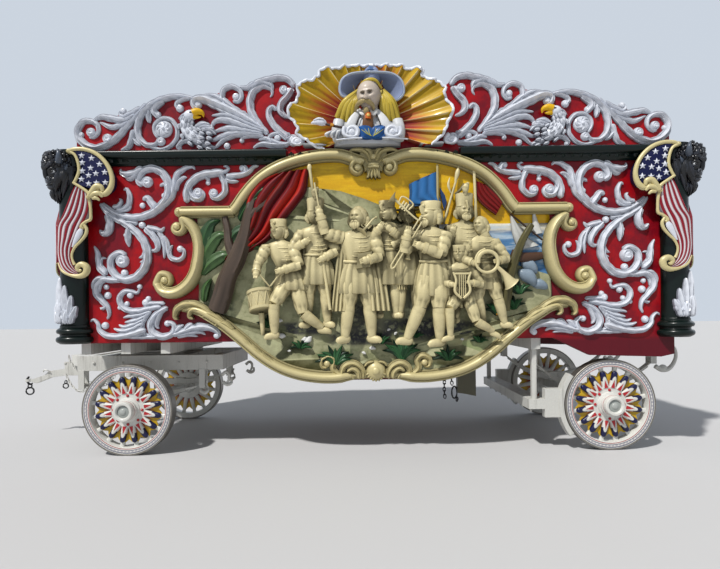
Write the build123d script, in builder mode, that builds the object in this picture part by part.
from build123d import *
from math import atan2, cos, degrees, hypot, pi, radians, sin, sqrt
import os

# A horse-drawn circus parade wagon for a band, about seven metres long. Its front is at -X and its
# left side at -Y. Z is up and the wheels stand on Z = 0. Sizes are in millimetres.
# The box body has carved and gilded sides, a seating deck with benches behind tall skyboards, a
# baggage hold with two rear doors, a steering truck in front and a sprung axle behind.

# Body box
body_half_length = 3140
body_half_width = 1050
wall = 60
body_bottom = 1200
body_top = 3190
floor_thickness = 60
deck_top = 2700
deck_thickness = 60

# Wheels and axles
wheel_radius = 482
tyre_width = 130
tyre_thickness = 18
felloe_height = 64
spoke_count = 16
spoke_width_hub = 66
spoke_width_rim = 50
spoke_thickness = 44
dish = 40
flange_radius = 185
barrel_radius = 104
barrel_reach = 105
hub_inner_reach = 110
spindle_radius = 41.7
bearing_gap = 0.3
end_gap = 5
wheel_face = body_half_width - 50
front_axle_x = 497 - body_half_length
rear_axle_x = body_half_length - 651
axle_width = 90
axle_height = 100

# Front truck and drawbar
truck_front = 727
truck_back = 923
truck_half_width = 630
truck_beam = 100
truck_top = 1035
truck_height = 170
ring_outer = 480
ring_inner = 400
ring_thickness = 18
turn_gap = 5
kingpin_radius = 29.7
nose_length = 350
hitch_drop = 235
hitch_pin_radius = 14.7
hitch_ahead = 1147
eye_ahead = 1690
eye_height = 690
eye_radius = 22
eye_wall = 22

# Springs
spring_y = 580
spring_width = 76
leaf = 12
front_leaves = 6
front_spring_half = 690
front_camber = 80
rear_leaves = 8
rear_spring_half = 745
rear_camber = 345
spring_eye = 30

# Where the tallest and longest carvings reach
head_reach = 256.65
front_reach = -front_axle_x + eye_ahead + eye_radius + eye_wall
rear_reach = body_half_length + head_reach
mid_x = (front_reach - rear_reach) / 2

left, right = -1, 1
os.makedirs("parts", exist_ok=True)


def side_plane(y):
    """Seen from the left: local x runs aft from the body's middle, local y up. It extrudes to -Y."""
    return Plane(origin=(mid_x, y, 0), x_dir=(1, 0, 0), z_dir=(0, -1, 0))


def end_plane(x):
    """Seen from behind: local x runs to +Y, local y up. It extrudes aft."""
    return Plane(origin=(mid_x + x, 0, 0), x_dir=(0, 1, 0), z_dir=(1, 0, 0))


def top_plane(z):
    return Plane(origin=(mid_x, 0, z))


def slab(x0, x1, y0, y1, z0, z1, mode=Mode.ADD):
    """A plank between two opposite corners, x from the body's middle, added to the open part."""
    with Locations((mid_x + (x0 + x1) / 2, (y0 + y1) / 2, (z0 + z1) / 2)):
        Box(x1 - x0, y1 - y0, z1 - z0, mode=mode)


def rod(x, y, z, radius, length, along="y", mode=Mode.ADD):
    """A round bar centred on a point, along an axis, added to the open part."""
    turn = {"y": (90, 0, 0), "x": (0, 90, 0), "z": (0, 0, 0)}
    with Locations(Location((mid_x + x, y, z), turn[along])):
        Cylinder(radius, length, mode=mode)


def save(part, name):
    part.label = name
    export_step(part, f"parts/{name}.step")


def save_pair(part, name):
    """Writes the left side's piece, and its mirror image for the right side."""
    save(part, f"{name}_left")
    save(mirror(part, about=Plane.XZ), f"{name}_right")


# Lower edge of the side walls, which drop to a belly between the trucks. x is from the middle, z up.
belly_bottom = 825
belly_points = [(2150, 1560), (1850, 1540), (1000, 930), (560, belly_bottom)]
belly_radii = [250, 500, 500, 500, 500, 250]
belly_edge = 40
frame_width = 130
slope = (belly_points[1][1] - belly_points[2][1]) / (belly_points[1][0] - belly_points[2][0])
belly_entry = belly_points[2][0] + (body_bottom + belly_edge - belly_points[2][1]) / slope
sill_start, sill_low, sill_bottom = 1870, 2250, 990

with BuildPart() as side_wall:
    with BuildSketch(side_plane(-body_half_width + wall)):
        with BuildLine():
            drop = [(x, z - belly_edge) for x, z in belly_points[2:]]
            belly = FilletPolyline(
                (-belly_entry, body_bottom),
                *[(-x, z) for x, z in drop],
                *reversed(drop),
                (belly_entry, body_bottom),
                radius=belly_radii[1],
            )
            Polyline(
                (belly_entry, body_bottom),
                (sill_start, body_bottom),
                (sill_low, sill_bottom + 25),
                (body_half_length - 140, sill_bottom),
                (body_half_length, sill_bottom + 30),
                (body_half_length, body_top),
                (-body_half_length, body_top),
                (-body_half_length, body_bottom),
                (-belly_entry, body_bottom),
            )
        make_face()
    extrude(amount=wall)
save_pair(side_wall.part, "side_wall")

inner_half_width = body_half_width - wall
inner_half_length = body_half_length - wall
doorway_half = 540
doorway_bottom = 1330
doorway_top = 2560

with BuildPart() as front_wall:
    slab(-body_half_length, -inner_half_length, -inner_half_width, inner_half_width, body_bottom, body_top)
save(front_wall.part, "front_wall")

with BuildPart() as rear_wall:
    slab(inner_half_length, body_half_length, -inner_half_width, inner_half_width, body_bottom, body_top)
    slab(inner_half_length, body_half_length, -doorway_half, doorway_half, doorway_bottom, doorway_top,
         mode=Mode.SUBTRACT)
save(rear_wall.part, "rear_wall")

with BuildPart() as floor:
    slab(-inner_half_length, inner_half_length, -inner_half_width, inner_half_width, body_bottom,
         body_bottom + floor_thickness)
save(floor.part, "hold_floor")

with BuildPart() as deck:
    slab(-inner_half_length, inner_half_length, -inner_half_width, inner_half_width,
         deck_top - deck_thickness, deck_top)
save(deck.part, "seating_deck")

# Rear doors, each a framed leaf on two strap hinges. The pins stand on brackets of the rear wall.
door_gap = 6
door_thickness = 45
strap = 8
knuckle_radius = 14
knuckle_height = 60
pin_radius = 7
hinge_heights = [1560, 2330]
hinge_x = body_half_length + knuckle_radius + 2
door_panel_inset = 110

with BuildPart() as door:
    slab(body_half_length - door_thickness, body_half_length, -doorway_half + door_gap, -door_gap / 2,
         doorway_bottom + door_gap, doorway_top - door_gap)
    slab(body_half_length - 12, body_half_length, -doorway_half + door_panel_inset, -door_panel_inset,
         doorway_bottom + door_panel_inset, doorway_top - door_panel_inset, mode=Mode.SUBTRACT)
    for hinge_z in hinge_heights:
        slab(body_half_length, body_half_length + strap, -doorway_half, -door_panel_inset + 50, hinge_z - 25,
             hinge_z + 25)
        rod(hinge_x, -doorway_half, hinge_z, knuckle_radius, knuckle_height, along="z")
        rod(hinge_x, -doorway_half, hinge_z, pin_radius + bearing_gap, knuckle_height + 2, along="z",
            mode=Mode.SUBTRACT)
save_pair(door.part, "rear_door")

with BuildPart() as hinge_brackets:
    for hinge_z in hinge_heights:
        for end in (-1, 1):
            lug = hinge_z + end * (knuckle_height / 2 + 2 + 10)
            slab(body_half_length, hinge_x + knuckle_radius, -doorway_half - 15, -doorway_half, lug - 10, lug + 10)
            rod(hinge_x, -doorway_half, lug, knuckle_radius, 20, along="z")
            slab(body_half_length, body_half_length + strap, -doorway_half - 70, -doorway_half - 15, lug - 10,
                 lug + 10)
        slab(body_half_length, body_half_length + strap, -doorway_half - 70, -doorway_half - 25,
             hinge_z - 50, hinge_z + 50)
        rod(hinge_x, -doorway_half, hinge_z, pin_radius, knuckle_height + 40, along="z")
    mirror(about=Plane.XZ)
save(hinge_brackets.part, "door_hinges")

# Benches across the seating deck, each a closed locker with a plank back
bench_pitch = 1000
bench_first = -1500
bench_count = 5
bench_depth = 380
bench_seat = 3130
bench_back = 3520
bench_half_width = inner_half_width - 30

with BuildPart() as benches:
    for number in range(bench_count):
        seat_x = bench_first + number * bench_pitch
        slab(seat_x - bench_depth / 2, seat_x + bench_depth / 2, -bench_half_width, bench_half_width,
             bench_seat - 36, bench_seat)
        slab(seat_x - bench_depth / 2 + 40, seat_x + bench_depth / 2, -bench_half_width + 30,
             bench_half_width - 30, deck_top, bench_seat - 36)
        slab(seat_x + bench_depth / 2, seat_x + bench_depth / 2 + 40, -bench_half_width, bench_half_width,
             deck_top, bench_back)
save(benches.part, "band_benches")

driver_x = 640 - body_half_length
with BuildPart() as driver_seat:
    slab(driver_x - 190, driver_x + 190, -700, 700, bench_seat + 120, bench_seat + 160)
    slab(driver_x + 190, driver_x + 230, -700, 700, bench_seat + 120, bench_back + 80)
    slab(driver_x - 150, driver_x + 190, -670, 670, deck_top, bench_seat + 120)
    with BuildSketch(side_plane(700)):
        with BuildLine():
            Polyline((-inner_half_length, 2900), (-inner_half_length, 2860), (-2820, deck_top),
                     (-2740, deck_top), close=True)
        make_face()
    extrude(amount=1400)
save(driver_seat.part, "driver_seat")

# Corner columns, three-quarter round about each corner of the box, on a ringed base
column_radius = 140
base_radius = 172
base_top = 1400
leaf_top = 1850
corners = [(fore, side) for fore in (-1, 1) for side in (left, right)]


def cut_body_box():
    slab(-body_half_length, body_half_length, -body_half_width, body_half_width, 0, body_top, Mode.SUBTRACT)


with BuildPart() as columns:
    for fore, side in corners:
        corner = Plane(origin=(mid_x + fore * body_half_length, side * body_half_width, 0), x_dir=(fore, 0, 0),
                       z_dir=(0, -fore, 0))
        with BuildSketch(corner):
            with BuildLine():
                Polyline((0, body_bottom), (column_radius + 6, body_bottom), (base_radius, body_bottom + 16))
                ThreePointArc((base_radius, body_bottom + 16), (base_radius + 14, body_bottom + 44),
                              (base_radius, body_bottom + 72))
                ThreePointArc((base_radius, body_bottom + 72), (base_radius - 22, body_bottom + 90),
                              (base_radius, body_bottom + 108))
                ThreePointArc((base_radius, body_bottom + 108), (base_radius + 10, body_bottom + 130),
                              (base_radius, body_bottom + 152))
                Polyline((base_radius, body_bottom + 152), (column_radius + 8, body_bottom + 170),
                         (column_radius + 8, base_top - 12), (column_radius, base_top),
                         (column_radius, body_top - 60), (column_radius + 24, body_top - 40),
                         (column_radius + 24, body_top), (0, body_top), (0, body_bottom))
            make_face()
        revolve(axis=Axis((mid_x + fore * body_half_length, side * body_half_width, 0), (0, 0, 1)))
    cut_body_box()
save(columns.part, "corner_columns")

# Skyboards: boards above the cornice, cut to the sweep of their carving. x falls away from the middle.
skyboard_thickness = 50
skyboard_edge = [(3110, 3190), (3110, 3385), (3055, 3495), (2850, 3540), (2620, 3605), (2300, 3720),
                 (2000, 3760), (1720, 3780), (1500, 3845), (1250, 3900), (1000, 3950), (840, 3930),
                 (700, 3800)]
with BuildPart() as skyboard:
    with BuildSketch(side_plane(-body_half_width + skyboard_thickness)):
        with BuildLine():
            Polyline(*[(-x, z) for x, z in skyboard_edge], *reversed(skyboard_edge), close=True)
        make_face()
    extrude(amount=skyboard_thickness)
save_pair(skyboard.part, "skyboard")

# Scallop shell in the middle of each skyboard: a hollow fan of pleats about a hinge, its rim forward.
# The dish is turned about the hinge from these radii and depths, and cut to the frilled edge.
shell_hinge = (-30, 3435)
shell_dish = [(0, 30), (220, 38), (440, 66), (660, 118), (900, 205)]
shell_skin = 30
shell_pleats = 17
pleat_height = 26
pleat_width = 18
pleat_start = 240
shell_edge = [(-490, 3201), (-607, 3210), (-685, 3268), (-782, 3322), (-763, 3375), (-801, 3443), (-860, 3497),
              (-850, 3589), (-792, 3628), (-753, 3706), (-763, 3793), (-685, 3866), (-636, 3856), (-554, 3905),
              (-539, 3968), (-442, 4002), (-393, 3992), (-247, 4027), (190, 4027), (316, 4012), (355, 3973),
              (433, 3987), (520, 3958), (496, 3910), (598, 3846), (637, 3852), (734, 3769), (720, 3696),
              (763, 3609), (802, 3580), (797, 3492), (763, 3443), (739, 3365), (705, 3297), (627, 3239),
              (579, 3201)]


def on_wall(x, z, out):
    """A point on the left side: x from the body's middle, height, and how far it stands out from the wall."""
    return Vector(mid_x + x, -body_half_width - out, z)


hinge_point = on_wall(*shell_hinge, 0)
fan_axis = Axis(hinge_point, (0, -1, 0))
dish_plane = Plane(origin=hinge_point, x_dir=(1, 0, 0), z_dir=(0, 0, -1))


def fan_section(upper, lower):
    """The dish between two rows of (radius from the hinge, depth off the wall), as a closed face."""
    with BuildSketch() as section:
        Polygon(*upper, *reversed(lower), align=None)
    return section.sketch


def dish_solid(above, below):
    """The dish turned about its hinge, from below its face to above it by these amounts."""
    upper = [(radius, depth + above) for radius, depth in shell_dish]
    lower = [(radius, depth - below) for radius, depth in shell_dish]
    return revolve(profiles=dish_plane * fan_section(upper, lower), axis=fan_axis, mode=Mode.PRIVATE)


def rib_solid(angle):
    """One pleat along a ray from the hinge."""
    ray = Vector(cos(angle), 0, sin(angle))
    along_ray = Plane(origin=hinge_point, x_dir=ray, z_dir=ray.cross(Vector(0, -1, 0)))
    rows = shell_dish[1:]
    top = [rows[0]] + [(radius, depth + pleat_height) for radius, depth in rows[1:]]
    low = [(radius, depth - shell_skin / 2) for radius, depth in rows]
    return extrude(to_extrude=along_ray * fan_section(top, low), amount=pleat_width / 2, both=True,
                   mode=Mode.PRIVATE)


with BuildPart() as fan_outline:
    with BuildSketch(side_plane(-body_half_width)):
        Polygon(*shell_edge, align=None)
    extrude(amount=shell_dish[-1][1] + 100)

ribs = [rib_solid(radians(-20 + 220 * (number + 0.5) / shell_pleats)) for number in range(shell_pleats)]
with BuildPart() as shell:
    add(dish_solid(0, shell_skin))
    add(ribs)
    add(fan_outline.part, mode=Mode.INTERSECT)
save_pair(shell.part, "shell")


# Bust in front of the shell, on the cornice: each layer is a depth off the wall, then its outlines
bust_x = -35
coat = [(-345, 3190), (-345, 3330), (-290, 3430), (-215, 3475), (150, 3475), (250, 3440), (335, 3330),
        (335, 3190), (250, 3190), (215, 3290), (115, 3290), (85, 3190), (-70, 3190), (-100, 3290),
        (-200, 3290), (-230, 3190)]
with BuildPart() as bust:
    with BuildSketch(side_plane(-body_half_width)):
        Polygon(*[(bust_x + x, z) for x, z in coat], align=None)
        with Locations((bust_x, 3560)):
            Ellipse(235, 150)
    extrude(amount=215)
    with BuildSketch(side_plane(-body_half_width)):
        with Locations((bust_x - 8, 3690)):
            Ellipse(120, 165)
        with Locations((bust_x, 3480)):
            Ellipse(75, 70)
    extrude(amount=250)
    with BuildSketch(side_plane(-body_half_width)):
        with Locations((bust_x + 20, 3800)):
            Ellipse(322, 128)
        with Locations((bust_x + 30, 3890)):
            Ellipse(105, 75)
        with Locations((bust_x + 20, 3735)):
            Ellipse(150, 128, mode=Mode.SUBTRACT)
            Rectangle(700, 160, align=(Align.CENTER, Align.MAX), mode=Mode.SUBTRACT)
    extrude(amount=225)
    add(dish_solid(pleat_height + 1, 300), mode=Mode.SUBTRACT)
save_pair(bust.part, "bust")

# Gilded frame round each side's relief. The arch and the belly piece are banded mouldings.
moulding = 75
bead = 45
frame_bead = 66
shoulder_top, shoulder_start, shoulder_end = 2616, 1400, 2010
arch_points = [(1440, 2530), (1165, 2925), (760, 3122), (330, 3122), (215, 3010)]
arch_radii = [700, 480, 90]
arch_curl = (160, 3000)
crown_top = body_top - 5
crown_gap = 900


def mirrored_x(points):
    return [(-x, z) for x, z in points]


def raised_band(sketch_plane, path_points, radii, width, depth):
    """Adds a flat band along a filleted path to the open part, standing out from the plane."""
    with BuildSketch(sketch_plane) as band:
        with BuildLine() as path:
            FilletPolyline(*path_points, radius=radii)
        trace(path.line, width)
    extrude(to_extrude=band.sketch, amount=depth)


frame_plane = side_plane(-body_half_width)
with BuildPart() as frame_arch:
    for points in (arch_points, mirrored_x(arch_points)):
        raised_band(frame_plane, points, arch_radii, frame_width, moulding)
        raised_band(frame_plane, points, arch_radii, frame_bead, moulding + bead)
    for end in (-1, 1):
        x0, x1 = sorted((end * shoulder_start, end * shoulder_end))
        slab(x0, x1, -body_half_width - moulding, -body_half_width, shoulder_top - frame_width, shoulder_top)
        x0, x1 = sorted((end * (shoulder_start + 20), end * (shoulder_end - 20)))
        slab(x0, x1, -body_half_width - moulding - bead, -body_half_width,
             shoulder_top - (frame_width + frame_bead) / 2, shoulder_top - (frame_width - frame_bead) / 2)
    with BuildSketch(frame_plane):
        with Locations(arch_curl, (-arch_curl[0], arch_curl[1])):
            Circle(85)
        with BuildLine():
            Polyline((-200, crown_top), (200, crown_top), (150, 2960), (60, 2850), (-60, 2850), (-150, 2960),
                     close=True)
        make_face()
    extrude(amount=moulding + bead)
save_pair(frame_arch.part, "frame_arch")

belly_path = belly_points + mirrored_x(reversed(belly_points))
with BuildPart() as frame_belly:
    raised_band(frame_plane, belly_path, belly_radii, frame_width, moulding)
    raised_band(frame_plane, belly_path, belly_radii, frame_bead, moulding + bead)
    with BuildSketch(frame_plane):
        with Locations((0, 830)):
            Ellipse(150, 90)
        with Locations((-430, 905), (430, 905)):
            Circle(75)
    extrude(amount=moulding + bead)
save_pair(frame_belly.part, "frame_belly")

# The C scrolls that close the frame's ends
c_points = [(-2060, 2420), (-1900, 2430), (-1795, 2300), (-1795, 2000), (-1900, 1740), (-2120, 1700),
            (-2240, 1790)]
c_radii = [110, 220, 500, 240, 150]
c_curls = [(-2050, 2385, 85), (-2185, 1830, 90)]
with BuildPart() as frame_scrolls:
    for end in (1, -1):
        points = [(end * x, z) for x, z in c_points]
        raised_band(frame_plane, points, c_radii, 110, moulding)
        raised_band(frame_plane, points, c_radii, 60, moulding + bead)
        with BuildSketch(frame_plane):
            for x, z, radius in c_curls:
                with Locations((end * x, z)):
                    Circle(radius)
        extrude(amount=moulding + bead)
save_pair(frame_scrolls.part, "frame_scrolls")

# Corner drapes: a shield and a fall of striped cloth that wraps each column, the same on both walls.
# Points are the distance in from the corner and the height.
drape_depth = 165
drape_thin = 105
drape_reach = 175
drape_foot = 1900
drape_top = body_top
drape_edge = [(0, drape_top), (195, drape_top), (326, 3134), (417, 3030), (463, 2923), (457, 2806), (391, 2728),
              (240, 2700), (241, 2600), (234, 2480), (180, 2380), (170, 2280), (80, 2220), (40, 2140),
              (50, 2040), (170, 2020), (180, 1930), (110, 1890), (25, 1895), (0, 1930)]


def corner_face(fore, side, on_end):
    """A wall's outer face at one corner, local y up, and the sign of local x that runs in from the corner."""
    corner = Vector(mid_x + fore * body_half_length, side * body_half_width, 0)
    outwards = Vector(fore, 0, 0) if on_end else Vector(0, side, 0)
    face = Plane(origin=corner, x_dir=Vector(0, 0, 1).cross(outwards), z_dir=outwards)
    return face, -fore * side if on_end else fore * side


def drape_wall(fore, side, on_end):
    """The part of a drape on one wall: an outline that thins away from the corner."""
    face, inwards = corner_face(fore, side, on_end)
    with BuildPart() as flap:
        with BuildSketch(face):
            with BuildLine():
                Polyline(*[(inwards * x, z) for x, z in drape_edge], close=True)
            make_face()
        extrude(amount=drape_depth)
        run = drape_edge[4][0] + 50
        slope = [(0, drape_depth), (run, drape_thin), (run, drape_depth + 60), (0, drape_depth + 60)]
        points = [face.origin + face.x_dir * inwards * x + face.z_dir * depth for x, depth in slope]
        with BuildSketch(Plane.XY.offset(drape_foot - 50)):
            Polygon(*[(point.X, point.Y) for point in points], align=None)
        extrude(amount=1500, mode=Mode.SUBTRACT)
    return flap.part


drape_solids = []
for fore, side in corners:
    flaps = [drape_wall(fore, side, on_end) for on_end in (False, True)]
    with BuildPart() as drape:
        for flap in flaps:
            add(flap)
        with Locations((mid_x + fore * body_half_length, side * body_half_width, (drape_foot + drape_top) / 2)):
            Cylinder(drape_reach, drape_top - drape_foot)
            Cylinder(column_radius + 24, 4000, mode=Mode.SUBTRACT)
        cut_body_box()
    drape_solids.append(drape.part)
with BuildPart() as flag_drapes:
    for solid in drape_solids:
        add(solid)
save(flag_drapes.part, "flag_drapes")

# Scrollwork: bands of carving along a path, each ending in a round eye. A row is the width, then the path.
# x falls away from the middle, and both halves of a wall have the same bands.
scroll_depth = 38
scroll_edge = 20
wall_paths = [
    (70, (-2845, 2660), (-2740, 2585), (-2600, 2522), (-2440, 2515), (-2250, 2590), (-2150, 2760), (-2190, 2930),
     (-2330, 3005), (-2440, 2950), (-2420, 2860)),
    (70, (-2855, 2640), (-2760, 2525), (-2590, 2440), (-2430, 2290), (-2375, 2090), (-2470, 1900), (-2640, 1865),
     (-2760, 1990), (-2710, 2130), (-2620, 2115)),
    (56, (-2600, 1868), (-2740, 1860), (-2895, 1850), (-2905, 1700), (-2800, 1580), (-2795, 1470)),
    (50, (-2260, 1575), (-2430, 1545), (-2600, 1545), (-2670, 1650), (-2600, 1738), (-2500, 1728)),
    (55, (-2225, 1540), (-2340, 1430), (-2320, 1290), (-2170, 1260), (-2110, 1350), (-2180, 1400)),
    (60, (-1955, 2665), (-1955, 2830), (-1850, 2935), (-1700, 2960), (-1580, 2965)),
    (52, (-2140, 1275), (-1960, 1320), (-1800, 1315), (-1700, 1262)),
    (50, (-2400, 1335), (-2640, 1272), (-2840, 1285), (-2900, 1400)),
    (54, (-2225, 2650), (-2100, 2770), (-2065, 2930), (-1920, 3005)),
    (44, (-2215, 2330), (-2160, 2220), (-2125, 2090), (-2010, 2080), (-2000, 2170)),
]
sky_paths = [
    (62, (-2370, 3700), (-2570, 3478), (-2780, 3290), (-2900, 3255), (-3030, 3310), (-3070, 3440), (-2970, 3520),
     (-2890, 3450), (-2930, 3375)),
    (74, (-1130, 3420), (-1500, 3628), (-1760, 3735), (-1850, 3690)),
    (56, (-1870, 3735), (-2070, 3765), (-2290, 3695), (-2430, 3560), (-2440, 3370), (-2310, 3280), (-2245, 3340)),
    (60, (-1100, 3370), (-1240, 3550), (-1270, 3740), (-1170, 3855), (-1070, 3800)),
    (54, (-1400, 3850), (-1200, 3900), (-980, 3940), (-850, 3870)),
    (56, (-1150, 3400), (-1400, 3475), (-1620, 3515), (-1690, 3463)),
    (44, (-1330, 3590), (-1530, 3670), (-1560, 3810), (-1440, 3850), (-1390, 3750)),
    (44, (-1150, 3355), (-1450, 3378), (-1760, 3310)),
]
rosette = (-2190, 3438, 95)
eagle_eye = (-1995, 3470, 78)
eagle_beak = [(-1990, 3545), (-1930, 3560), (-1865, 3525), (-1835, 3440), (-1870, 3470), (-1920, 3470)]


def bend_radii(points):
    """The largest even bend at each corner of a path: 0.45 of the shorter run over the tangent of half the turn."""
    radii = []
    for before, here, after in zip(points, points[1:], points[2:]):
        first, second = Vector(*here) - Vector(*before), Vector(*after) - Vector(*here)
        turn = radians(first.get_angle(second))
        radii.append(0.45 * min(first.length, second.length) / sin(turn / 2) * cos(turn / 2))
    return radii


def scroll_bands(paths, circles, depths):
    """Two levels of carving on the left side: broad bands, and a narrower ridge along each."""
    with BuildPart() as carving:
        for share, eye_share, depth in depths:
            with BuildSketch(side_plane(-body_half_width)):
                for end in (-1, 1):
                    for width, *points in paths:
                        ends = [(-end * x, z) for x, z in points]
                        with BuildLine() as stroke:
                            FilletPolyline(*ends, radius=bend_radii(ends))
                        trace(stroke.line, width * share)
                        with Locations(ends[-1]):
                            Circle(width * eye_share)
                        with Locations(ends[0]):
                            Circle(width * share / 2)
                    for x, z, radius in circles:
                        with Locations((-end * x, z)):
                            Circle(radius * share)
            extrude(amount=depth)
    return carving.part


levels = [(1, 0.62, scroll_edge), (0.55, 0.36, scroll_depth)]
with BuildPart() as wall_carving:
    add(scroll_bands(wall_paths, [], levels))
    for piece in (frame_arch.part, frame_belly.part, frame_scrolls.part):
        add(piece, mode=Mode.SUBTRACT)
save_pair(wall_carving.part, "wall_carving")

with BuildPart() as sky_carving:
    add(scroll_bands(sky_paths, [rosette, eagle_eye], levels))
    for end in (-1, 1):
        with BuildSketch(side_plane(-body_half_width)):
            Polygon(*[(-end * x, z) for x, z in eagle_beak], align=None)
        extrude(amount=90)
    add(fan_outline.part, mode=Mode.SUBTRACT)
save_pair(sky_carving.part, "sky_carving")

# Relief inside each frame: rising ground, trees and a hung flag, with the figures of a marching band.
# Heights along a figure are shares of its own height.
ground_depth = 30
ground_edge = [(-1840, 1560), (-1840, 2550), (-1460, 2556), (-1160, 2900), (-760, 2990), (-450, 2960), (150, 2600),
               (600, 2250), (900, 1990), (1840, 1860), (1840, 1560), (1700, 1440), (1000, 930), (560, belly_bottom),
               (-560, belly_bottom), (-1000, 930), (-1700, 1440)]
figures = [
    # x, foot height, height, distance out, lean, left hand, right hand
    (-860, 1220, 1220, 45, -0.10, (-320, 670), (-70, 700)),
    (-600, 1330, 1270, 30, 0, (-100, 890), (60, 710)),
    (-170, 1170, 1400, 75, 0, (-385, 1330), (70, 840)),
    (130, 1420, 1200, 30, 0, (-70, 930), (15, 920)),
    (345, 1420, 1180, 25, 0, (-25, 820), (25, 730)),
    (600, 1130, 1460, 80, -0.03, (-245, 1150), (-145, 1020)),
    (930, 1360, 1270, 25, 0, (-125, 960), (145, 1000)),
    (1130, 1300, 1160, 55, -0.05, (-115, 670), (115, 695)),
    (900, 1170, 980, 110, -0.06, (-115, 590), (60, 610)),
]
tree_limbs = [((-1640, 1500), (-1440, 2050), 190, 150), ((-1450, 2020), (-1290, 2560), 140, 84),
              ((-1450, 2060), (-1545, 2480), 90, 56), ((1340, 1530), (1430, 2000), 116, 84),
              ((1425, 1970), (1620, 2370), 84, 56)]
flag_outline = [(-665, 2985), (-720, 2720), (-930, 2460), (-1520, 2030), (-1380, 2340), (-1330, 2700), (-1040, 2930)]
poles = [((-460, 1540), (-660, 2960), 34, 26), ((665, 1950), (665, 3000), 34, 26), ((1060, 1760), (1045, 2850), 34, 26)]


with BuildPart() as relief:
    with BuildSketch(side_plane(-body_half_width)):
        Polygon(*ground_edge, align=None)
    extrude(amount=ground_depth)
    with BuildSketch(side_plane(-body_half_width)):
        Polygon(*flag_outline, align=None)
    extrude(amount=85)
    with BuildSketch(side_plane(-body_half_width)):
        for start, end, start_width, end_width in tree_limbs + poles:
            across = (Vector(*end) - Vector(*start)).normalized().rotate(Axis.Z, 90)
            Polygon(*[Vector(*start) + across * start_width / 2, Vector(*start) - across * start_width / 2,
                      Vector(*end) - across * end_width / 2, Vector(*end) + across * end_width / 2], align=None)
    extrude(amount=70)
    for x, foot, tall, out, lean, left_hand, right_hand in figures:
        top_x = x + lean * tall
        with BuildSketch(side_plane(-body_half_width)):
            for side in (-1, 1):
                Polygon((x + side * 0.02 * tall, foot + 0.45 * tall), (x + side * 0.12 * tall, foot + 0.45 * tall),
                        (x + side * 0.13 * tall, foot), (x + side * 0.07 * tall, foot), align=None)
        extrude(amount=out + 0.085 * tall)
        with BuildSketch(side_plane(-body_half_width)):
            Polygon((x - 0.14 * tall, foot + 0.40 * tall), (x + 0.14 * tall, foot + 0.40 * tall),
                    (top_x + 0.085 * tall, foot + 0.60 * tall), (top_x + 0.13 * tall, foot + 0.79 * tall),
                    (top_x + 0.04 * tall, foot + 0.84 * tall), (top_x - 0.04 * tall, foot + 0.84 * tall),
                    (top_x - 0.13 * tall, foot + 0.79 * tall), (top_x - 0.085 * tall, foot + 0.60 * tall),
                    align=None)
            with Locations((top_x, foot + 0.91 * tall)):
                Ellipse(0.055 * tall, 0.09 * tall)
        extrude(amount=out + 0.115 * tall)
        with BuildSketch(side_plane(-body_half_width)):
            for side, hand in ((-1, left_hand), (1, right_hand)):
                shoulder = Vector(top_x + side * 0.10 * tall, foot + 0.77 * tall)
                palm = Vector(x + hand[0], foot + hand[1])
                elbow = (shoulder + palm) / 2 + Vector(side * 0.07 * tall, -0.06 * tall)
                with BuildLine() as sleeve:
                    Polyline(shoulder, elbow, palm)
                trace(sleeve.line, 0.062 * tall)
                with Locations(palm):
                    Circle(0.036 * tall)
        extrude(amount=out + 0.135 * tall)
    for piece in (frame_arch.part, frame_belly.part, frame_scrolls.part):
        add(piece, mode=Mode.SUBTRACT)
save_pair(relief.part, "relief")

# Acanthus leaves that stand on each column's ringed base: an outline wrapped on the shaft
leaf_thickness = 20
leaf_lobes = [(-150, -30, 1700), (-95, 15, 1830), (-45, 45, leaf_top + 30), (-15, 95, 1830), (30, 150, 1700)]
with BuildPart() as leaves:
    for fore, side in corners:
        axis_point = (mid_x + fore * body_half_length, side * body_half_width, 0)
        outwards = Vector(fore, side, 0).normalized()
        face = Plane(origin=Vector(*axis_point), x_dir=Vector(0, 0, 1).cross(outwards), z_dir=outwards)
        with BuildPart() as spray:
            with BuildSketch(face):
                for near, far, tip in leaf_lobes:
                    Polygon((near, base_top + 6), (far, base_top + 6), ((near * 0.4 + far * 0.6), tip - 120),
                            ((near + far) / 2, tip), ((near * 0.6 + far * 0.4), tip - 120), align=None)
            extrude(amount=column_radius + 60)
            with Locations((*axis_point[:2], (base_top + leaf_top) / 2)):
                Cylinder(column_radius + leaf_thickness, leaf_top - base_top + 200, mode=Mode.INTERSECT)
                Cylinder(column_radius, leaf_top - base_top + 300, mode=Mode.SUBTRACT)
            cut_body_box()
        add(spray.part)
save(leaves.part, "column_leaves")

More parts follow.
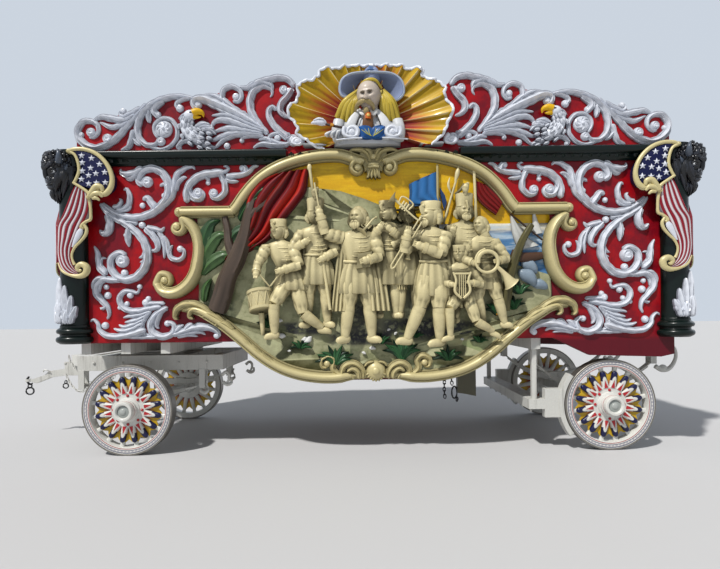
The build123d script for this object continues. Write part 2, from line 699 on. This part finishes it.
# Bison heads that look out diagonally from the corners. Rows are height, back, front and half width of
# level sections, from the woolly crown down to the chin, then those of the beard.
head_rows = [(3185, 40, 240, 95), (3130, 0, 282, 130), (3010, -10, 292, 140), (2930, 0, 268, 118),
             (2860, 20, 258, 84), (2800, 40, 252, 70), (2765, 70, 230, 50)]
beard_rows = [(2820, 90, 215, 66), (2700, 100, 200, 50), (2610, 125, 165, 16)]
head_solids = []
for fore, side in corners:
    out = Vector(fore, side, 0).normalized()
    across = Vector(0, 0, 1).cross(out)
    corner = Vector(mid_x + fore * body_half_length, side * body_half_width, 0)
    with BuildPart() as head:
        for rows in (head_rows, beard_rows):
            for height, back, front, half_width in rows:
                centre = corner + out * (back + front) / 2 + Vector(0, 0, height)
                with BuildSketch(Plane(origin=centre, x_dir=out, z_dir=(0, 0, 1))):
                    Ellipse((front - back) / 2, half_width)
            loft()
        for hand in (-1, 1):
            horn_root = corner + out * 190 + across * hand * 95 + Vector(0, 0, 3030)
            horn = Plane(origin=horn_root, z_dir=(across * hand * 0.6 + Vector(0, 0, 0.8)).normalized())
            with BuildSketch(horn):
                Circle(32)
            with BuildSketch(horn.offset(115)):
                Circle(7)
            loft()
        with Locations(corner + Vector(0, 0, 3000)):
            Cylinder(drape_reach, 3000, mode=Mode.SUBTRACT)
    head_solids.append(head.part)
with BuildPart() as heads:
    for solid in head_solids:
        add(solid)
save(heads.part, "bison_heads")

# Cornice: one moulding along each wall between the corner carvings
cornice_depth = 110
cornice_height = 140
cornice_half_length = body_half_length - 240
cornice_half_width = body_half_width - 220


def cornice_profile():
    """Outline of the moulding, with local x outwards from the wall and local y up from its foot."""
    with BuildSketch() as outline:
        with BuildLine():
            Line((0, 0), (20, 0))
            Line((20, 0), (34, 18))
            ThreePointArc((34, 18), (50, 48), (84, 62))
            ThreePointArc((84, 62), (104, 74), (cornice_depth, 96))
            Line((cornice_depth, 96), (cornice_depth, cornice_height - 22))
            ThreePointArc((cornice_depth, cornice_height - 22), (103, cornice_height - 6),
                          (cornice_depth - 24, cornice_height))
            Line((cornice_depth - 24, cornice_height), (0, cornice_height))
            Line((0, cornice_height), (0, 0))
        make_face()
    return outline.sketch


cornice_foot = body_top - cornice_height
with BuildPart() as cornice:
    along_side = Plane(origin=(mid_x + cornice_half_length, -body_half_width, cornice_foot), x_dir=(0, -1, 0),
                       z_dir=(-1, 0, 0))
    extrude(to_extrude=along_side * cornice_profile(), amount=2 * cornice_half_length)
    mirror(about=Plane.XZ)
    along_end = Plane(origin=(mid_x + body_half_length, -cornice_half_width, cornice_foot), x_dir=(1, 0, 0),
                      z_dir=(0, -1, 0))
    extrude(to_extrude=along_end * cornice_profile(), amount=-2 * cornice_half_width)
    front_end = Plane(origin=(mid_x - body_half_length, -cornice_half_width, cornice_foot), x_dir=(-1, 0, 0),
                      z_dir=(0, 1, 0))
    extrude(to_extrude=front_end * cornice_profile(), amount=2 * cornice_half_width)
    for piece in (frame_arch.part, mirror(frame_arch.part, about=Plane.XZ), *drape_solids):
        add(piece, mode=Mode.SUBTRACT)
    slab(-crown_gap, crown_gap, -body_half_width - moulding - bead, body_half_width + moulding + bead, cornice_foot,
         body_top + 10, mode=Mode.SUBTRACT)
save(cornice.part, "cornice")

# Undercarriage
timber_width = 100
timber_height = 120
timber_bottom = body_bottom - timber_height
timber_half = wheel_face
front_timbers = [front_axle_x - 420, front_axle_x, front_axle_x + 420]
rear_timbers = [rear_axle_x - 789, body_half_length - 160]
with BuildPart() as timbers:
    for x in front_timbers + rear_timbers:
        if x < rear_axle_x + 200:
            slab(x - timber_width / 2, x + timber_width / 2, -timber_half, timber_half, timber_bottom, body_bottom)
        else:
            slab(x - timber_width / 2, x + timber_width / 2, -inner_half_width, inner_half_width, timber_bottom,
                 body_bottom)
save(timbers.part, "cross_timbers")

lower_ring_top = truck_top + ring_thickness
with BuildPart() as upper_ring:
    with BuildSketch(Plane(origin=(mid_x + front_axle_x, 0, lower_ring_top + turn_gap))):
        Circle(ring_outer)
        Circle(ring_inner, mode=Mode.SUBTRACT)
        Circle(120)
    extrude(amount=timber_bottom - lower_ring_top - turn_gap)
    pin_bottom = truck_top - truck_height - 30
    rod(front_axle_x, 0, (timber_bottom + pin_bottom) / 2, kingpin_radius, timber_bottom - pin_bottom, along="z")
    rod(front_axle_x, 0, pin_bottom, 52, 30, along="z")
save(upper_ring.part, "upper_fifth_wheel")


def arc_band(centre, inner, outer, start, sweep_angle):
    """A flat band between two arcs about one centre, as a face in its own plane."""
    with BuildSketch() as band:
        with BuildLine():
            far = CenterArc(centre, outer, start, sweep_angle)
            near = CenterArc(centre, inner, start, sweep_angle)
            Line(far @ 0, near @ 0)
            Line(far @ 1, near @ 1)
        make_face()
    return band.sketch


def leaf_spring(axle_x, half, camber, leaves, seat_z, y):
    """A pack of leaves bent to arcs about one centre above the axle, with rolled eyes on the top leaf."""
    radius = (half * half + camber * camber) / (2 * camber)
    top = seat_z + leaves * leaf
    centre = (axle_x, top + radius - leaf / 2)
    with BuildPart() as pack:
        for number in range(leaves):
            reach = half * (1 - number / (leaves + 0.6))
            swing = degrees(reach / radius)
            inner = radius - leaf / 2 + number * leaf
            face = arc_band(centre, inner, inner + leaf, 270 - swing, 2 * swing)
            extrude(to_extrude=side_plane(y + spring_width / 2) * face, amount=spring_width)
        swing = half / radius
        eyes = [(centre[0] + end * radius * sin(swing), centre[1] - radius * cos(swing)) for end in (-1, 1)]
        with BuildSketch(side_plane(y + spring_width / 2)):
            with Locations(*eyes):
                Circle(spring_eye)
        extrude(amount=spring_width)
        with BuildSketch(side_plane(y + spring_width / 2)):
            with Locations(*eyes):
                Circle(hitch_pin_radius + bearing_gap)
        extrude(amount=spring_width, mode=Mode.SUBTRACT)
        slab(axle_x - 65, axle_x + 65, y - spring_width / 2 - 14, y + spring_width / 2 + 14, seat_z - 14,
             seat_z + 6)
        slab(axle_x - 65, axle_x + 65, y - spring_width / 2 - 14, y + spring_width / 2 + 14, top - 4, top + 14)
    return pack.part, eyes


axle_top = wheel_radius + axle_height / 2
spring_seat = axle_top + 14
shoulder = wheel_face - tyre_width / 2 - hub_inner_reach - end_gap
spindle_end = wheel_face + barrel_reach - 55
spring_nodes = {}
for place, axle_x, half, camber, leaves in (
    ("front", front_axle_x, front_spring_half, front_camber, front_leaves),
    ("rear", rear_axle_x, rear_spring_half, rear_camber, rear_leaves),
):
    with BuildPart() as axle:
        slab(axle_x - axle_width / 2, axle_x + axle_width / 2, -shoulder, shoulder,
             wheel_radius - axle_height / 2, axle_top)
        rod(axle_x, 0, wheel_radius, spindle_radius, 2 * spindle_end)
    save(axle.part, f"{place}_axle")
    with BuildPart() as springs:
        for side in (left, right):
            pack_part, eyes = leaf_spring(axle_x, half, camber, leaves, spring_seat, side * spring_y)
            add(pack_part)
    save(springs.part, f"{place}_springs")
    spring_nodes[place] = eyes

# Front truck: two beams and five cross-members, a nose that carries the drawbar, and spring hangers
truck_bottom = truck_top - truck_height
nose_x = front_axle_x - truck_front - nose_length
hitch_x = front_axle_x - hitch_ahead
hitch_z = truck_top - hitch_drop
cheek = 12


def spring_cheeks(eye_x, eye_z, top_z):
    """Two plates on each side's spring eye, with the pin between them."""
    for side in (left, right):
        for face in (-1, 1):
            y = side * spring_y + face * (spring_width / 2 + 3 + cheek / 2)
            slab(eye_x - 34, eye_x + 34, y - cheek / 2, y + cheek / 2, eye_z - 34, top_z)
        rod(eye_x, side * spring_y, eye_z, hitch_pin_radius, spring_width + 6 + 2 * cheek)


with BuildPart() as truck:
    front_end_x, back_end_x = front_axle_x - truck_front, front_axle_x + truck_back
    for side in (left, right):
        inner, outer = side * (truck_half_width - truck_beam), side * truck_half_width
        slab(front_end_x, back_end_x, min(inner, outer), max(inner, outer), truck_bottom, truck_top)
    inner = truck_half_width - truck_beam
    for x in (front_end_x + 60, front_axle_x - 440, front_axle_x, front_axle_x + 440, back_end_x - 60):
        half = 110 if x == front_axle_x else 60
        slab(x - half, x + half, -inner, inner, truck_bottom, truck_top)
    with BuildSketch(top_plane(truck_bottom + 20)):
        with BuildLine():
            Polyline((front_end_x, -400), (nose_x, -130), (nose_x, 130), (front_end_x, 400),
                     (front_end_x, 290), (nose_x + 70, 60), (nose_x + 70, -60), (front_end_x, -290), close=True)
        make_face()
    extrude(amount=truck_height - 40)
    for side in (left, right):
        y = side * 72
        slab(hitch_x - 45, nose_x + 60, y - 12, y + 12, hitch_z - 45, truck_bottom + 60)
    rod(hitch_x, 0, hitch_z, hitch_pin_radius, 2 * 84)
    rod(front_axle_x, 0, truck_top - truck_height / 2, kingpin_radius + bearing_gap, truck_height + 10, along="z",
        mode=Mode.SUBTRACT)
    for eye_x, eye_z in spring_nodes["front"]:
        spring_cheeks(eye_x, eye_z, truck_bottom + 10)
save(truck.part, "truck_frame")

with BuildPart() as lower_ring:
    with BuildSketch(Plane(origin=(mid_x + front_axle_x, 0, truck_top))):
        Circle(ring_outer)
        Circle(ring_inner, mode=Mode.SUBTRACT)
    extrude(amount=ring_thickness)
save(lower_ring.part, "lower_fifth_wheel")

# Drawbar: a stub pole on a cross pin, with a hitch eye at its tip
eye_x = front_axle_x - eye_ahead
pole_width = 76
tip_width = 30
with BuildPart() as drawbar:
    with BuildSketch(side_plane(pole_width / 2)):
        with BuildLine():
            Polyline((hitch_x, hitch_z + 42), (hitch_x - 270, hitch_z + 8), (hitch_x - 320, hitch_z - 40),
                     (eye_x + 90, eye_height + 26), (eye_x + 60, eye_height + 15),
                     (eye_x + 60, eye_height - 15), (eye_x + 110, eye_height - 34),
                     (hitch_x - 250, hitch_z - 74), (hitch_x, hitch_z - 42), close=True)
        make_face()
    extrude(amount=pole_width)
    rod(hitch_x, 0, hitch_z, 44, 112)
    rod(hitch_x, 0, hitch_z, hitch_pin_radius + bearing_gap, 130, mode=Mode.SUBTRACT)
    rod(eye_x, 0, eye_height, eye_radius + eye_wall, tip_width, along="z")
    slab(eye_x, eye_x + 70, -28, 28, eye_height - tip_width / 2, eye_height + tip_width / 2)
    rod(eye_x, 0, eye_height, eye_radius, tip_width + 10, along="z", mode=Mode.SUBTRACT)
save(drawbar.part, "drawbar")

# Rear gear: hangers for the springs, and a beam with shoes that brake the rear wheels
rear_eyes = spring_nodes["rear"]
with BuildPart() as hangers:
    spring_cheeks(rear_eyes[0][0], rear_eyes[0][1], timber_bottom)
    for side in (left, right):
        slab(rear_eyes[0][0] - 60, rear_eyes[0][0] + 60, side * spring_y - 60, side * spring_y + 60,
             timber_bottom - 14, timber_bottom)
    spring_cheeks(rear_eyes[1][0], rear_eyes[1][1], timber_bottom + 40)
    for side in (left, right):
        slab(rear_timbers[1] + timber_width / 2, rear_eyes[1][0] + 40, side * spring_y - 60,
             side * spring_y + 60, timber_bottom + 30, timber_bottom + 60)
save(hangers.part, "rear_hangers")

shoe_gap = 8
shoe_thickness = 50
shoe_swing = 38
brake_y = wheel_face - tyre_width / 2
beam_front = rear_timbers[0] - 70
beam_back = rear_timbers[0] + 100
beam_bottom = 440
beam_top = 545
with BuildPart() as brake:
    slab(beam_front, beam_back, -brake_y - 45, brake_y + 45, beam_bottom, beam_top)
    for side in (left, right):
        shoe = arc_band((rear_axle_x, wheel_radius), wheel_radius + shoe_gap,
                        wheel_radius + shoe_gap + shoe_thickness, 180 - shoe_swing, 2 * shoe_swing)
        extrude(to_extrude=side_plane(side * brake_y + 55) * shoe, amount=110)
        inner_x = rear_axle_x - wheel_radius - shoe_gap - 20
        slab(beam_back, inner_x, side * brake_y - 45, side * brake_y + 45, beam_bottom - 90, beam_top + 110)
        slab(beam_front + 40, beam_front + 90, side * brake_y - 25, side * brake_y + 25, beam_top,
             timber_bottom)
save(brake.part, "brake_gear")

# Wheels: a tyre shrunk on a felloe, spokes with carved petals, a sunburst web and a banded nave
felloe_outer = wheel_radius - tyre_thickness
felloe_inner = felloe_outer - felloe_height
spoke_front = tyre_width / 2 - dish
petal_end = 330
petal_width = 60
petal_height = 14
web_tip = 385
web_notch = 300
web_thickness = 14
nave = [(-hub_inner_reach, spindle_radius + bearing_gap), (-hub_inner_reach, 84), (-72, 100), (-48, 112),
        (-40, flange_radius - 6), (-30, flange_radius), (spoke_front + 2, flange_radius),
        (spoke_front + 10, flange_radius - 8), (spoke_front + 12, 132), (spoke_front + 26, 126),
        (spoke_front + 34, 108), (spoke_front + 52, 104), (spoke_front + 58, 112), (spoke_front + 74, 112),
        (spoke_front + 80, barrel_radius), (barrel_reach + 50, barrel_radius),
        (barrel_reach + 65, barrel_radius - 10), (barrel_reach + 65, 66), (barrel_reach + 40, 58),
        (barrel_reach + 40, 0), (barrel_reach + 22, 0), (barrel_reach + 22, spindle_radius + bearing_gap)]


def make_wheel(axle_x, side):
    """Returns the wheel and its tyre, standing on the ground with the petals facing outboard."""
    centre = (mid_x + axle_x, side * (wheel_face - tyre_width / 2), wheel_radius)
    outboard = Plane(origin=centre, x_dir=(-side, 0, 0), z_dir=(0, side, 0))
    profile = Plane(origin=centre, x_dir=(0, side, 0), z_dir=(side, 0, 0))
    half_step = 180 / spoke_count
    with BuildPart() as wheel:
        with BuildSketch(profile):
            with BuildLine():
                Polyline(*nave, close=True)
            make_face()
        revolve(axis=Axis(centre, (0, 1, 0)))
        with BuildSketch(outboard.offset(spoke_front - spoke_thickness)):
            with PolarLocations(0, spoke_count, start_angle=half_step):
                Polygon((flange_radius - 20, -spoke_width_hub / 2), (felloe_inner + 10, -spoke_width_rim / 2),
                        (felloe_inner + 10, spoke_width_rim / 2), (flange_radius - 20, spoke_width_hub / 2),
                        align=None)
        extrude(amount=spoke_thickness)
        with BuildSketch(outboard.offset(spoke_front - spoke_thickness / 2)):
            star = []
            for number in range(2 * spoke_count):
                angle = radians(half_step * (number + 1))
                reach = web_tip if number % 2 == 0 else web_notch
                star.append((reach * cos(angle), reach * sin(angle)))
            Polygon(*star, align=None)
            Circle(flange_radius - 20, mode=Mode.SUBTRACT)
        extrude(amount=web_thickness)
        with BuildSketch(outboard.offset(spoke_front)):
            with PolarLocations(0, spoke_count, start_angle=half_step):
                with Locations(((flange_radius + petal_end) / 2 - 10, 0)):
                    Rectangle(petal_end - flange_radius + 20, petal_width)
                with Locations((petal_end, 0)):
                    Circle(petal_width / 2)
            Circle(flange_radius - 10, mode=Mode.SUBTRACT)
        extrude(amount=petal_height)
        with BuildSketch(outboard.offset(-tyre_width / 2)):
            Circle(felloe_outer)
            Circle(felloe_inner, mode=Mode.SUBTRACT)
        extrude(amount=tyre_width)
    with BuildPart() as tyre:
        with BuildSketch(outboard.offset(-tyre_width / 2)):
            Circle(wheel_radius)
            Circle(felloe_outer, mode=Mode.SUBTRACT)
        extrude(amount=tyre_width)
        chamfer(tyre.edges().filter_by(GeomType.CIRCLE).group_by(SortBy.RADIUS)[-1], 4)
    return wheel.part, tyre.part


for place, axle_x in (("front", front_axle_x), ("rear", rear_axle_x)):
    for hand, side in (("left", left), ("right", right)):
        wheel_part, tyre_part = make_wheel(axle_x, side)
        save(wheel_part, f"wheel_{place}_{hand}")
        save(tyre_part, f"tyre_{place}_{hand}")
